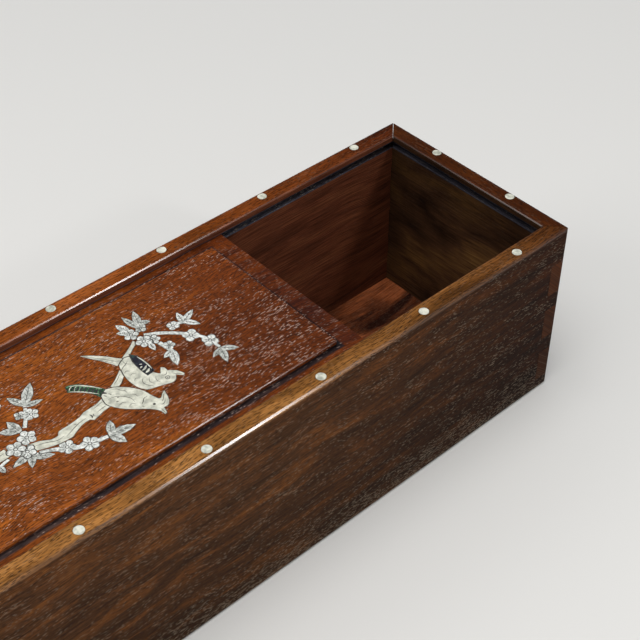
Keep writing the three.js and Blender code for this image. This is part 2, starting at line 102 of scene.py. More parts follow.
def per_mm(length: float, width: float) -> Triple:
    """Gives the scale at which one pattern cell is this long and wide.

    Args:
        length: Length along the fibres, in millimetres.
        width: Width across them, in millimetres.

    Returns:
        The scale for each axis.
    """
    return (1 / (length * MM), 1 / (width * MM), 1 / (width * MM))


def new_material(name: str) -> tuple[Material, Tree, Node]:
    """Makes a material with its shader.

    Args:
        name: The material's name.

    Returns:
        The material, its node tree and its shader node.
    """
    material = bpy.data.materials.new(name)
    material.use_nodes = True
    return material, material.node_tree, material.node_tree.nodes["Principled BSDF"]


def add_node(
    tree: Tree, kind: str, settings: dict | None = None, links: dict | None = None
) -> Outputs:
    """Adds a shader node.

    Args:
        tree: The material's or world's node tree.
        kind: The node's type, without the prefix that all shader nodes share.
        settings: Attributes by name, or socket values by socket name or number.
        links: Output sockets to join to the node's inputs, by input name or number.

    Returns:
        The new node's outputs.
    """
    node = tree.nodes.new("ShaderNode" + kind)
    for key, value in (settings or {}).items():
        if isinstance(key, str) and hasattr(node, key):
            setattr(node, key, value)
        else:
            node.inputs[key].default_value = value
    for key, output in (links or {}).items():
        tree.links.new(output, node.inputs[key])
    return node.outputs


def set_ramp(colour: Socket, stops: list[tuple[float, str]]) -> None:
    """Sets the stops of a colour ramp.

    Args:
        colour: The ramp's colour output.
        stops: Pairs of position and hex colour, lowest first.
    """
    elements = colour.node.color_ramp.elements
    while len(elements) < len(stops):
        elements.new(1.0)
    for element, (position, code) in zip(elements, stops):
        element.position = position
        element.color = srgb(code)


def overlap(tree: Tree, masks: list[Socket]) -> Socket:
    """Finds where several masks overlap.

    Args:
        tree: The node tree.
        masks: The masks.

    Returns:
        Their product.
    """
    common = masks[0]
    for mask in masks[1:]:
        both = add_node(tree, "Math", {"operation": "MULTIPLY"}, {0: common, 1: mask})
        common = both[0]
    return common


@dataclass(frozen=True)
class Streaks:
    """Noise drawn out along the fibres, with the range of it that is used and what it becomes."""

    size_mm: Place
    noise: Place
    becomes: Place = (0.0, 1.0)
    detail: float = 2.0
    roughness: float = 0.6
    distortion: float = 0.0

    def build(self, tree: Tree, fibres: Socket) -> Socket:
        """Draws the streaks.

        Args:
            tree: The node tree.
            fibres: Place with its first axis along the fibres.

        Returns:
            The value in each streak.
        """
        drawn = add_node(tree, "Mapping", {"Scale": per_mm(*self.size_mm)}, {"Vector": fibres})
        noise = add_node(
            tree,
            "TexNoise",
            {
                "Scale": 1.0,
                "Detail": self.detail,
                "Roughness": self.roughness,
                "Distortion": self.distortion,
            },
            {"Vector": drawn["Vector"]},
        )
        spread = add_node(
            tree,
            "MapRange",
            dict(zip((LOW, HIGH, LEAST, MOST), (*self.noise, *self.becomes))),
            {VALUE: noise["Fac"]},
        )
        return spread[0]


@dataclass(frozen=True)
class Tone:
    """The colours of one part of a board, and how strongly its filled and open pores show."""

    dark: str
    middle: str
    light: str
    flecks: float
    pores: float = 0.6


@dataclass(frozen=True)
class Flecks:
    """Pores cut lengthwise, as short dashes along the fibres.

    A real pore is about 0.15 mm wide, too fine to show in the render, so it is drawn about
    twice as wide. Turning the stretched cells keeps their dashes from standing in columns.
    """

    length_mm: float
    width_mm: float
    share: float
    shift: Triple
    turn: float = 0.6
    spot: Place = (0.24, 0.38)
    fade: float = 0.12

    def mask(self, tree: Tree, fibres: Socket, zone: Socket) -> Socket:
        """Draws the dashes.

        Args:
            tree: The node tree.
            fibres: Place with its first axis along the fibres.
            zone: Where the pores crowd, about 0 to 1.

        Returns:
            1 in a dash and 0 between.
        """
        cells = add_node(
            tree,
            "Mapping",
            {
                "Location": self.shift,
                "Rotation": (0.0, 0.0, self.turn),
                "Scale": per_mm(self.length_mm, self.width_mm),
            },
            {"Vector": fibres},
        )
        cell = add_node(
            tree,
            "TexVoronoi",
            {"voronoi_dimensions": "2D", "Scale": 1.0},
            {"Vector": cells["Vector"]},
        )
        spot = add_node(
            tree,
            "MapRange",
            {LOW: self.spot[0], HIGH: self.spot[1], LEAST: 1.0, MOST: 0.0},
            {VALUE: cell["Distance"]},
        )
        parts = add_node(tree, "SeparateColor", links={0: cell["Color"]})
        likely = add_node(tree, "Math", {"operation": "ADD"}, {0: parts[0], 1: zone})
        # A cell's own number from 0 to 1 and the zone, about a half, add up to the likelihood.
        least = 1.5 - self.share
        picked = add_node(
            tree, "MapRange", {LOW: least, HIGH: least + self.fade}, {VALUE: likely[0]}
        )
        return overlap(tree, [spot[0], picked[0]])


@dataclass(frozen=True)
class PaintedShadeAndPatina:
    """Painted shade on a board: darker along the box where the light falls off, with a little
    darkening by age; darker at its foot and under its rim, where shade falls.
    """

    start_mm: float = 20.0
    end_mm: float = 150.0
    at_end: Triple = (0.21, 0.125, 0.075)
    by_height: bool = True
    inside_share: float = 0.45
    foot_mm: float = 55.0
    at_foot: float = 0.5
    rim_mm: Place = (36.0, 60.0)
    under_rim: float = 1.0

    def shade(self, tree: Tree, place: Socket, inside: Socket) -> Socket:
        """Gives how much of each of the wood's primaries is left.

        Args:
            tree: The node tree.
            place: Place on the board.
            inside: Mask of the inside.

        Returns:
            A factor for each primary.
        """
        parts = add_node(tree, "SeparateXYZ", links={0: place})
        # Painted light falloff: darker towards the closed end, with a little darkening by age.
        along = add_node(
            tree, "MapRange", {LOW: self.start_mm * MM, HIGH: self.end_mm * MM}, {VALUE: parts[0]}
        )
        if not self.by_height:
            return self.tinted(tree, along[0])
        less = add_node(tree, "MapRange", {LEAST: 1.0, MOST: self.inside_share}, {VALUE: inside})
        tint = self.tinted(tree, overlap(tree, [along[0], less[0]]))
        # Painted shade: darker towards the foot of the board.
        foot = add_node(
            tree,
            "MapRange",
            {LOW: 0.0, HIGH: self.foot_mm * MM, LEAST: self.at_foot, MOST: 1.0},
            {VALUE: parts[2]},
        )
        # Painted shade: darker on the inside just under the rim.
        low_mm, high_mm = self.rim_mm
        rim = add_node(
            tree,
            "MapRange",
            {LOW: low_mm * MM, HIGH: high_mm * MM, LEAST: 1.0, MOST: self.under_rim},
            {VALUE: parts[2]},
        )
        upright = add_node(tree, "Mix", links={FACTOR: inside, NUMBER_1: foot[0], NUMBER_2: rim[0]})
        both = add_node(tree, "VectorMath", {"operation": "SCALE"}, {0: tint, "Scale": upright[0]})
        return both["Vector"]

    def tinted(self, tree: Tree, along: Socket) -> Socket:
        """Fades from no change to the factors at the closed end.

        Args:
            tree: The node tree.
            along: 0 where the patina starts to 1 at its end.

        Returns:
            A factor for each primary.
        """
        mixed = add_node(
            tree,
            "Mix",
            {"data_type": "RGBA", COLOUR_1: (1.0, 1.0, 1.0, 1.0), COLOUR_2: (*self.at_end, 1.0)},
            {FACTOR: along},
        )
        return mixed[MIXED]


@dataclass(frozen=True)
class OiledRosewood:
    """Rosewood, planed, its open pores part filled with wax and dust, and oiled.

    The eye sees wide streaks along the fibres, fine fibres in them, dark open pores, and
    pale grey dashes where a pore is filled. Oil gives a soft sheen, and the arrises that
    hands have rubbed shine.
    """

    name: str
    grain: Grain
    face: Tone
    top: Tone
    inside: Tone
    streaks: Streaks = Streaks((34.0, 5.0), (0.26, 0.74), detail=5.0, distortion=0.5)
    comb: Streaks = Streaks((14.0, 0.34), (0.32, 0.68), (0.48, 1.52))
    crowding: Streaks = Streaks((18.0, 6.0), (0.3, 0.7), (0.41, 0.61), roughness=0.5)
    # Dust gathers at the foot and the closed end: axis, start and end in mm, and how much.
    gathering: tuple[tuple[int, float, float, float], ...] = (
        (2, 16.0, 2.0, 0.26), (0, 85.0, 145.0, 0.02)
    )
    fleck: str = "b4a28c"
    pore: str = "1c0d08"
    pale_flecks: tuple[Flecks, ...] = (
        Flecks(1.3, 0.29, 0.13, (0.0, 0.0, 0.0)), Flecks(2.8, 0.27, 0.08, (3.7, 1.3, 0.0))
    )
    dark_flecks: Flecks = Flecks(2.2, 0.32, 0.5, (7.9, 4.4, 0.0))
    pore_depth_mm: float = 0.08
    pore_strength: float = 0.35
    roughness: float = 0.5
    rougher_fleck: float = 0.25
    ior: float = 1.5
    specular: float = 0.03
    wax: float = 1.0
    wax_on_flat: float = 0.04
    wax_roughness: float = 0.17
    arris_slope: Place = (0.9, 0.985)
    wander_mm: float = 5.0
    bend_mm: float = 38.0
    # Painted light falloff and shade over the board, with a little darkening by age.
    shade_and_patina: PaintedShadeAndPatina = PaintedShadeAndPatina()

    def build(self) -> Material:
        """Returns the wood as a material."""
        material, tree, shader = new_material(self.name)
        place = add_node(tree, "TexCoord")["Object"]
        fibres = self.fibre_place(tree, place)
        masks = self.masks(tree, place)
        zone = self.zone(tree, place, fibres)
        pale = self.gathered(tree, fibres, zone)
        dark = self.dark_flecks.mask(tree, fibres, zone)

        tones = (self.face, self.top, self.inside)
        ground = self.toned(tree, self.figure(tree, fibres), masks)
        combed = add_node(
            tree,
            "VectorMath",
            {"operation": "SCALE"},
            {0: ground, "Scale": self.comb.build(tree, fibres)},
        )["Vector"]
        pores = [tone.pores for tone in tones]
        # Painted light falloff and shade, with a little darkening by age, darken the colour.
        shaded = add_node(
            tree,
            "VectorMath",
            {"operation": "MULTIPLY"},
            {
                0: self.laid(tree, combed, dark, pores, masks, self.pore),
                1: self.shade_and_patina.shade(tree, place, masks[1]),
            },
        )["Vector"]
        flecks = [tone.flecks for tone in tones]
        colour = self.laid(tree, shaded, pale, flecks, masks, self.fleck)
        tree.links.new(colour, shader.inputs["Base Color"])

        bump = add_node(
            tree,
            "Bump",
            {"Strength": self.pore_strength, "Distance": self.pore_depth_mm * MM, "invert": True},
            {"Height": dark},
        )
        tree.links.new(bump["Normal"], shader.inputs["Normal"])
        rough = add_node(
            tree,
            "MapRange",
            {LEAST: self.roughness, MOST: self.roughness + self.rougher_fleck},
            {VALUE: pale},
        )
        tree.links.new(rough[0], shader.inputs["Roughness"])
        tree.links.new(self.rubbed(tree, masks), shader.inputs["Coat Weight"])
        shader.inputs["Coat Roughness"].default_value = self.wax_roughness
        shader.inputs["IOR"].default_value = self.ior
        shader.inputs["Specular IOR Level"].default_value = self.specular
        return material

    def leaning(self, tree: Tree) -> Socket:
        """Finds the rounded arrises, which hands have rubbed until they shine.

        Args:
            tree: The node tree.

        Returns:
            The weight of the wax on a face of this slope.
        """
        normal = add_node(tree, "NewGeometry")["Normal"]
        parts = add_node(tree, "SeparateXYZ", links={0: normal})
        low, high = self.arris_slope
        slope = add_node(
            tree,
            "MapRange",
            {LOW: low, HIGH: high, LEAST: self.wax, MOST: self.wax_on_flat * self.wax},
            {VALUE: parts[2]},
        )
        return slope[0]

    def rubbed(self, tree: Tree, masks: list[Socket]) -> Socket:
        """Finds the rim's rubbed arrises.

        Args:
            tree: The node tree.
            masks: Masks of the top, the inside and the groove.

        Returns:
            The weight of the wax.
        """
        return overlap(tree, [self.leaning(tree), masks[0]])

    def fibre_place(self, tree: Tree, place: Socket) -> Socket:
        """Unrolls the board's faces along the grain and lets the fibres wander a little.

        Args:
            tree: The node tree.
            place: Place on the board.

        Returns:
            Place along the fibres, and across them over the board's top and down its side.
        """
        turned = add_node(
            tree, "Mapping", {"Rotation": (0.0, 0.0, self.grain.value)}, {"Vector": place}
        )["Vector"]
        parts = add_node(tree, "SeparateXYZ", links={0: turned})
        below = add_node(
            tree, "Math", {"operation": "SUBTRACT", 1: CASE_HEIGHT * MM}, {0: parts[2]}
        )
        drift = add_node(
            tree, "TexNoise", {"Scale": 1 / (self.bend_mm * MM), "Detail": 1.0}, {"Vector": turned}
        )
        shift = add_node(
            tree,
            "Math",
            {"operation": "MULTIPLY_ADD", 1: self.wander_mm * MM},
            {0: drift["Fac"], 2: below[0]},
        )
        across = add_node(tree, "Math", {"operation": "ADD"}, {0: shift[0], 1: parts[1]})
        unrolled = add_node(tree, "CombineXYZ", links={0: parts[0], 1: across[0]})
        return unrolled["Vector"]

    def figure(self, tree: Tree, fibres: Socket) -> Socket:
        """Draws the wide streaks.

        Args:
            tree: The node tree.
            fibres: Place with its first axis along the fibres.

        Returns:
            0 in the darkest streak to 1 in the lightest.
        """
        return self.streaks.build(tree, fibres)

    def zone(self, tree: Tree, place: Socket, fibres: Socket) -> Socket:
        """Draws where pores crowd.

        Args:
            tree: The node tree.
            place: Place on the board.
            fibres: Place with its first axis along the fibres.

        Returns:
            About 0 where pores are few to 1 where they crowd.
        """
        zone = self.crowding.build(tree, fibres)
        parts = add_node(tree, "SeparateXYZ", links={0: place})
        for axis, start_mm, end_mm, more_by in self.gathering:
            more = add_node(
                tree,
                "MapRange",
                {LOW: start_mm * MM, HIGH: end_mm * MM, LEAST: 0.0, MOST: more_by},
                {VALUE: parts[axis]},
            )
            zone = add_node(tree, "Math", {"operation": "ADD"}, {0: zone, 1: more[0]})[0]
        return zone

    def masks(self, tree: Tree, place: Socket) -> list[Socket]:
        """Finds the rim's top faces, the inside of the box and the lid's groove.

        Args:
            tree: The node tree.
            place: Place on the board.

        Returns:
            The masks of the top, the inside and the groove.
        """
        parts = add_node(tree, "SeparateXYZ", links={0: place})
        low_mm, high_mm = RIM_HEIGHTS
        top = add_node(tree, "MapRange", {LOW: low_mm * MM, HIGH: high_mm * MM}, {VALUE: parts[2]})
        spans = add_node(tree, "VectorMath", {"operation": "ABSOLUTE"}, {0: place})
        halves = add_node(tree, "SeparateXYZ", links={0: spans["Vector"]})
        inside = [("LESS_THAN", CASE_HALF[i] - WALL + MASK_REACH, halves[i]) for i in (0, 1)]
        groove = [
            ("GREATER_THAN", GROOVE_HEIGHTS[0], parts[2]),
            ("LESS_THAN", GROOVE_HEIGHTS[1], parts[2]),
            ("LESS_THAN", GROOVE_HALF_WIDTH, halves[1]),
            ("LESS_THAN", GROOVE_END, parts[0]),
        ]
        return [top[0], self.within(tree, inside), self.within(tree, groove)]

    def within(self, tree: Tree, edges: list[tuple[str, float, Socket]]) -> Socket:
        """Finds where every one of some tests holds.

        Args:
            tree: The node tree.
            edges: The test, the edge in millimetres and the value to test.

        Returns:
            The mask.
        """
        tests = [
            add_node(tree, "Math", {"operation": test, 1: edge * MM}, {0: value})
            for test, edge, value in edges
        ]
        return overlap(tree, [test[0] for test in tests])

    def toned(self, tree: Tree, figure: Socket, masks: list[Socket]) -> Socket:
        """Colours the streaks in the tone of each part of the board.

        Args:
            tree: The node tree.
            figure: The streaks.
            masks: The mask of each part but the face.

        Returns:
            The colour.
        """
        ramps = []
        # The groove's tone is painted shade.
        for tone in (self.face, self.top, self.inside, GROOVE_SHADE)[: len(masks) + 1]:
            ramps.append(add_node(tree, "ValToRGB", links={"Fac": figure})["Color"])
            set_ramp(ramps[-1], [(0.05, tone.dark), (0.5, tone.middle), (0.95, tone.light)])
        colour = ramps[0]
        for mask, ramp in zip(masks, ramps[1:]):
            mixed = add_node(
                tree, "Mix", {"data_type": "RGBA"}, {FACTOR: mask, COLOUR_1: colour, COLOUR_2: ramp}
            )
            colour = mixed[MIXED]
        return colour

    def gathered(self, tree: Tree, fibres: Socket, zone: Socket) -> Socket:
        """Draws all the pale flecks.

        Args:
            tree: The node tree.
            fibres: Place with its first axis along the fibres.
            zone: Where the pores crowd.

        Returns:
            1 in a fleck and 0 between.
        """
        masks = [flecks.mask(tree, fibres, zone) for flecks in self.pale_flecks]
        pale = masks[0]
        for mask in masks[1:]:
            joined = add_node(tree, "Math", {"operation": "MAXIMUM"}, {0: pale, 1: mask})
            pale = joined[0]
        return pale

    def laid(
        self,
        tree: Tree,
        ground: Socket,
        mask: Socket,
        strengths: list[float],
        masks: list[Socket],
        code: str,
    ) -> Socket:
        """Lays a colour over the ground with the strength of each part of the board.

        Args:
            tree: The node tree.
            ground: The colour below.
            mask: Where the colour lies.
            strengths: Its strength on the face, the top and the inside.
            masks: The mask of each part but the face.
            code: The colour's hex code.

        Returns:
            The colour.
        """
        settings, links = {NUMBER_1: strengths[0]}, {}
        for part, strength in zip(masks, strengths[1:]):
            mixed = add_node(tree, "Mix", {**settings, NUMBER_2: strength}, {**links, FACTOR: part})
            settings, links = {}, {NUMBER_1: mixed[0]}
        mixed = add_node(
            tree,
            "Mix",
            {"data_type": "RGBA", COLOUR_2: srgb(code)},
            {FACTOR: overlap(tree, [mask, links[NUMBER_1]]), COLOUR_1: ground},
        )
        return mixed[MIXED]


@dataclass(frozen=True)
class LidRosewood(OiledRosewood):
    """The lid's rosewood: a raised field with a heart-coloured patch, and margins darkened along
    the field's step by grime and painted shade.
    """

    patch_mm: Place = (32.0, -10.0)
    patch_size_mm: Place = (42.0, 24.0)
    patch_fade: Place = (0.45, 1.15)
    patch_darkness: float = 0.36
    patch_pores: float = 0.06
    # The step down to the margins, and the edges of the band of grime and painted shade: axis,
    # inner and outer edge in mm.
    edges: tuple[tuple[int, float, float], ...] = (
        (2, 66.9, 67.4), (1, -30.1, -30.7), (1, 30.9, 31.5), (0, 56.2, 56.9)
    )

    def figure(self, tree: Tree, fibres: Socket) -> Socket:
        """Draws the streaks, darker in the heart-coloured patch.

        Args:
            tree: The node tree.
            fibres: Place with its first axis along the fibres.

        Returns:
            0 in the darkest streak to 1 in the lightest.
        """
        return self.patched(tree, fibres, super().figure(tree, fibres), -self.patch_darkness)

    def zone(self, tree: Tree, place: Socket, fibres: Socket) -> Socket:
        """Draws where pores crowd, most of all in the heart-coloured patch.

        Args:
            tree: The node tree.
            place: Place on the lid.
            fibres: Place with its first axis along the fibres.

        Returns:
            About 0 where pores are few to 1 where they crowd.
        """
        zone = super().zone(tree, place, fibres)
        return self.patched(tree, fibres, zone, self.patch_pores)

    def rubbed(self, tree: Tree, masks: list[Socket]) -> Socket:
        """Finds the field's rubbed arrises, above the margins.

        Args:
            tree: The node tree.
            masks: Masks of the margins, and of the grime and painted shade.

        Returns:
            The weight of the wax.
        """
        above = add_node(tree, "Math", {"operation": "SUBTRACT", 0: 1.0}, {1: masks[0]})
        return overlap(tree, [self.leaning(tree), above[0]])

    def patched(self, tree: Tree, fibres: Socket, value: Socket, more_by: float) -> Socket:
        """Raises or lowers a value in the heart-coloured patch.

        Args:
            tree: The node tree.
            fibres: Place with its first axis along the fibres.
            value: The value.
            more_by: What the patch adds at its middle.

        Returns:
            The value with the patch in it.
        """
        size_x, size_y = self.patch_size_mm
        centre_x, centre_y = self.patch_mm
        near = add_node(
            tree,
            "Mapping",
            {
                "Location": (-centre_x / size_x, -centre_y / size_y, 0.0),
                "Scale": (1 / (size_x * MM), 1 / (size_y * MM), 0.0),
            },
            {"Vector": fibres},
        )
        away = add_node(tree, "VectorMath", {"operation": "LENGTH"}, {0: near["Vector"]})
        patch = add_node(
            tree,
            "MapRange",
            {LOW: self.patch_fade[0], HIGH: self.patch_fade[1], LEAST: 1.0, MOST: 0.0},
            {VALUE: away["Value"]},
        )
        changed = add_node(
            tree, "Math", {"operation": "MULTIPLY_ADD", 1: more_by}, {0: patch[0], 2: value}
        )
        return changed[0]

    def masks(self, tree: Tree, place: Socket) -> list[Socket]:
        """Finds the lid's margins and the band of grime and painted shade along the step of its
        field.

        Args:
            tree: The node tree.
            place: Place on the lid.

        Returns:
            The mask of the margins and that of the grime and painted shade.
        """
        parts = add_node(tree, "SeparateXYZ", links={0: place})
        masks = []
        for axis, inner_mm, outer_mm in self.edges:
            fade = add_node(
                tree,
                "MapRange",
                {LOW: inner_mm * MM, HIGH: outer_mm * MM, LEAST: 1.0, MOST: 0.0},
                {VALUE: parts[axis]},
            )
            masks.append(fade[0])
        return [masks[0], overlap(tree, masks)]


@dataclass(frozen=True)
class PolishedShell:
    """Mother-of-pearl or abalone, sawn thin, ground flat and polished.

    The eye sees a milky ground with grey clouds from the growth layers and a smooth gloss.
    """

    name: str
    cloud: str
    body: str
    glow: str
    roughness: float = 0.3
    cloud_mm: float = 2.2
    stops: Triple = (0.34, 0.52, 0.7)
    ripple_mm: float = 0.05
    ripple_strength: float = 0.2
    ior: float = 1.53

    def build(self) -> Material:
        """Returns the shell as a material."""
        material, tree, shader = new_material(self.name)
        place = add_node(tree, "TexCoord")["Object"]
        cloud = add_node(
            tree,
            "TexNoise",
            {"Scale": 1 / (self.cloud_mm * MM), "Detail": 4.0, "Roughness": 0.65},
            {"Vector": place},
        )["Fac"]
        colour = add_node(tree, "ValToRGB", links={"Fac": cloud})["Color"]
        set_ramp(colour, list(zip(self.stops, (self.cloud, self.body, self.glow))))
        tree.links.new(colour, shader.inputs["Base Color"])
        bump = add_node(
            tree,
            "Bump",
            {"Strength": self.ripple_strength, "Distance": self.ripple_mm * MM},
            {"Height": cloud},
        )
        tree.links.new(bump["Normal"], shader.inputs["Normal"])
        shader.inputs["Roughness"].default_value = self.roughness
        shader.inputs["IOR"].default_value = self.ior
        return material


@dataclass(frozen=True)
class RubbedLac:
    """Dark lac rubbed into engraved lines and joints, dull and slightly uneven."""

    name: str
    thin: str
    thick: str
    wear_mm: float = 0.8
    stops: Place = (0.4, 0.65)
    roughness: float = 0.6

    def build(self) -> Material:
        """Returns the lac as a material."""
        material, tree, shader = new_material(self.name)
        place = add_node(tree, "TexCoord")["Object"]
        wear = add_node(
            tree, "TexNoise", {"Scale": 1 / (self.wear_mm * MM), "Detail": 2.0}, {"Vector": place}
        )
        colour = add_node(tree, "ValToRGB", links={"Fac": wear["Fac"]})["Color"]
        set_ramp(colour, list(zip(self.stops, (self.thick, self.thin))))
        tree.links.new(colour, shader.inputs["Base Color"])
        shader.inputs["Roughness"].default_value = self.roughness
        return material


SIDE_FACE = Tone("3a2616", "52341e", "7a4a22", 0.42, 0.8)
END_FACE = Tone("54301a", "744222", "8a5028", 0.12, 0.4)
# The front rim is painted more golden and the back rim darker and redder: partly the boards' own
# tones, partly painted light on the near rim and painted shade on the far one.
FRONT_RIM = Tone("583818", "885a2b", "aa7640", 0.13, 0.9)
BACK_RIM = Tone("68350f", "844418", "985426", 0.13, 0.85)
END_RIM = Tone("4e260e", "683410", "7c4414", 0.08, 0.7)
WALL_INSIDE = Tone("4e2c1e", "6e3e2a", "7e4c32", 0.04, 0.2)
END_INSIDE = Tone("281b14", "5c3f2a", "8a6438", 0.03, 0.15)
FLOOR_INSIDE = Tone("301810", "683820", "a45c36", 0.06, 0.3)
# Painted shade: the lid's groove is painted a dark cool grey for the shade that fills it.
GROOVE_SHADE = Tone("34343c", "4a4a54", "60606a", 0.0)
FIELD = Tone("62300f", "804216", "9c5618", 0.7, 0.85)
MARGIN = Tone("4a2212", "72380f", "8c4a18", 0.24)
# Dark band at the foot of the lid field's step: grime with dust specks, and painted shade in the
# corner.
GRIME_AND_SHADE = Tone("1a191c", "32292a", "584338", 0.7)

FRONT_WOOD = OiledRosewood(
    "front_oiled_rosewood", Grain.ALONG_BOX, SIDE_FACE, FRONT_RIM, WALL_INSIDE
)
BACK_WOOD = OiledRosewood("back_oiled_rosewood", Grain.ALONG_BOX, SIDE_FACE, BACK_RIM, WALL_INSIDE)
END_WOOD = OiledRosewood(
    "end_oiled_rosewood",
    Grain.ACROSS_BOX,
    END_FACE,
    END_RIM,
    END_INSIDE,
    streaks=Streaks((36.0, 14.0), (0.26, 0.74), detail=5.0, distortion=0.5),
    # Painted shade: the end board's inside is darker just under the rim.
    shade_and_patina=PaintedShadeAndPatina(at_end=(0.34, 0.31, 0.3), inside_share=0.8, under_rim=0.5),
)
FLOOR_WOOD = OiledRosewood(
    "floor_oiled_rosewood",
    Grain.ALONG_BOX,
    SIDE_FACE,
    FRONT_RIM,
    FLOOR_INSIDE,
    streaks=Streaks((36.0, 9.0), (0.36, 0.64), detail=5.0, distortion=0.5),
)
LID_WOOD = LidRosewood(
    "lid_oiled_rosewood",
    Grain.ALONG_BOX,
    FIELD,
    MARGIN,
    GRIME_AND_SHADE,
    streaks=Streaks((60.0, 7.0), (0.25, 0.75), detail=5.0, distortion=0.5),
    comb=Streaks((7.0, 0.32), (0.32, 0.68), (0.48, 1.52)),
    crowding=Streaks((18.0, 6.0), (0.3, 0.7), (0.4, 0.6), roughness=0.5),
    fleck="c2a89a",
    pale_flecks=(Flecks(1.2, 0.33, 0.13, (0.0, 0.0, 0.0)), Flecks(2.6, 0.3, 0.1, (3.7, 1.3, 0.0))),
    dark_flecks=Flecks(1.8, 0.33, 0.62, (7.9, 4.4, 0.0)),
    roughness=0.4,
    specular=0.1,
    wax=0.5,
    wander_mm=10.0,
    # Darker and redder towards the closed end: partly the lid's own tone, partly painted falloff of
    # the light.
    shade_and_patina=PaintedShadeAndPatina(start_mm=-20.0, end_mm=60.0, at_end=(0.64, 0.54, 0.54), by_height=False),
)
DOT_SHELL = PolishedShell("dots_polished_pearl", "9c9e90", "d0cfbf", "e8e5d3")
CREAM_PEARL = PolishedShell("cream_polished_pearl", "a2a294", "cccbba", "e4e2d2")
SILVER_PEARL = PolishedShell("silver_polished_pearl", "70736d", "b8bab2", "e8e8e0", cloud_mm=1.2)
WHITE_PEARL = PolishedShell("white_polished_pearl", "868983", "cfd1ca", "f2f2ec", cloud_mm=1.0)
TAIL_ABALONE = PolishedShell(
    "green_polished_abalone", "101a14", "2a5230", "7a9c7a", roughness=0.22, cloud_mm=1.3
)
WING_ABALONE = PolishedShell(
    "violet_polished_abalone", "0e0e16", "201e2c", "2c4a3c", roughness=0.22, cloud_mm=1.3
)
LAC = RubbedLac("rubbed_lac", "4e4b44", "262320")
DEEP_LAC = RubbedLac("deep_rubbed_lac", "2a2a28", "0c0d0e")
WOODS = (FRONT_WOOD, BACK_WOOD, END_WOOD, FLOOR_WOOD, LID_WOOD)
SHELL_SLOTS = ("shell", "abalone")
SHELLS = (DOT_SHELL, CREAM_PEARL, SILVER_PEARL, WHITE_PEARL, TAIL_ABALONE, WING_ABALONE)
FINISHES = (*WOODS, *SHELLS, LAC, DEEP_LAC)


@dataclass
class Woodwork:
    """The boards of the case and the lid."""

    nodes: dict
    materials: dict
    arris_mm: float = 0.2
    segments: int = 2
    least_angle: float = 25.0
    finishes: dict = field(
        default_factory=lambda: {
            "front_side": FRONT_WOOD,
            "back_side": BACK_WOOD,
            "bottom_board": FLOOR_WOOD,
            "closed_end": END_WOOD,
            "open_end": END_WOOD,
            "lid_panel": LID_WOOD,
            "lid_end_rail": END_WOOD,
        }
    )

    def dress(self) -> None:
        """Eases the arrises and sets the wood."""
        for name, finish in self.finishes.items():
            board = self.nodes[name]
            board.data.materials.clear()
            board.data.materials.append(self.materials[finish.name])
            bevel = board.modifiers.new("eased_arris", "BEVEL")
            bevel.width = self.arris_mm * MM
            bevel.segments = self.segments
            bevel.limit_method = "ANGLE"
            bevel.angle_limit = math.radians(self.least_angle)
            LOG.info("%s: %s", name, finish.name)


@dataclass
class ShellWork:
    """The shell dots and the inlaid picture's plates."""

    nodes: dict
    materials: dict
    slots: dict

    def dress(self) -> None:
        """Sets the shell on each plate."""
        for name, slot in self.slots.items():
            if slot in SHELL_SLOTS:
                finish = self.finish(name, slot)
                plate = self.nodes[name].data
                plate.materials.clear()
                plate.materials.append(self.materials[finish.name])
                LOG.info("%s: %s", name, finish.name)

    def finish(self, name: str, slot: str) -> PolishedShell:
        """Picks a plate's shell: cream birds and boughs, white blossoms, silvery leaves.

        Args:
            name: The plate's name.
            slot: Its material slot.

        Returns:
            The finish.
        """
        if slot == "abalone":
            return WING_ABALONE if "wing" in name else TAIL_ABALONE
        if name.startswith("dot_"):
            return DOT_SHELL
        if name.startswith(("blossom", "twig")):
            return WHITE_PEARL
        return SILVER_PEARL if name.startswith("leaves") else CREAM_PEARL


@dataclass(frozen=True)
class Stroke:
    """One line on the shell: its width and its stops, in mm on the lid's field."""

    width: float
    stops: tuple[Place, ...]
    closed: bool = False


@dataclass(frozen=True)
class Blossom:
    """A blossom plate of the inlay: centre, radius, turn and number of petals."""

    centre: Place
    radius: float
    turn: float
    petals: int = 5


@dataclass(frozen=True)
class Leaf:
    """A leaf plate of the inlay: base, tip and width."""

    base: Place
    tip: Place
    width: float


def ring(centre: Place, radius: float, width: float, sides: int = 12) -> Stroke:
    """Gives a round line.

    Args:
        centre: Its centre on the field.
        radius: Its radius, in millimetres.
        width: The line's width, in millimetres.
        sides: Number of stops.

    Returns:
        The stroke.
    """
    angles = [2 * math.pi * i / sides for i in range(sides)]
    stops = [(centre[0] + radius * math.cos(a), centre[1] + radius * math.sin(a)) for a in angles]
    return Stroke(width, tuple(stops), True)


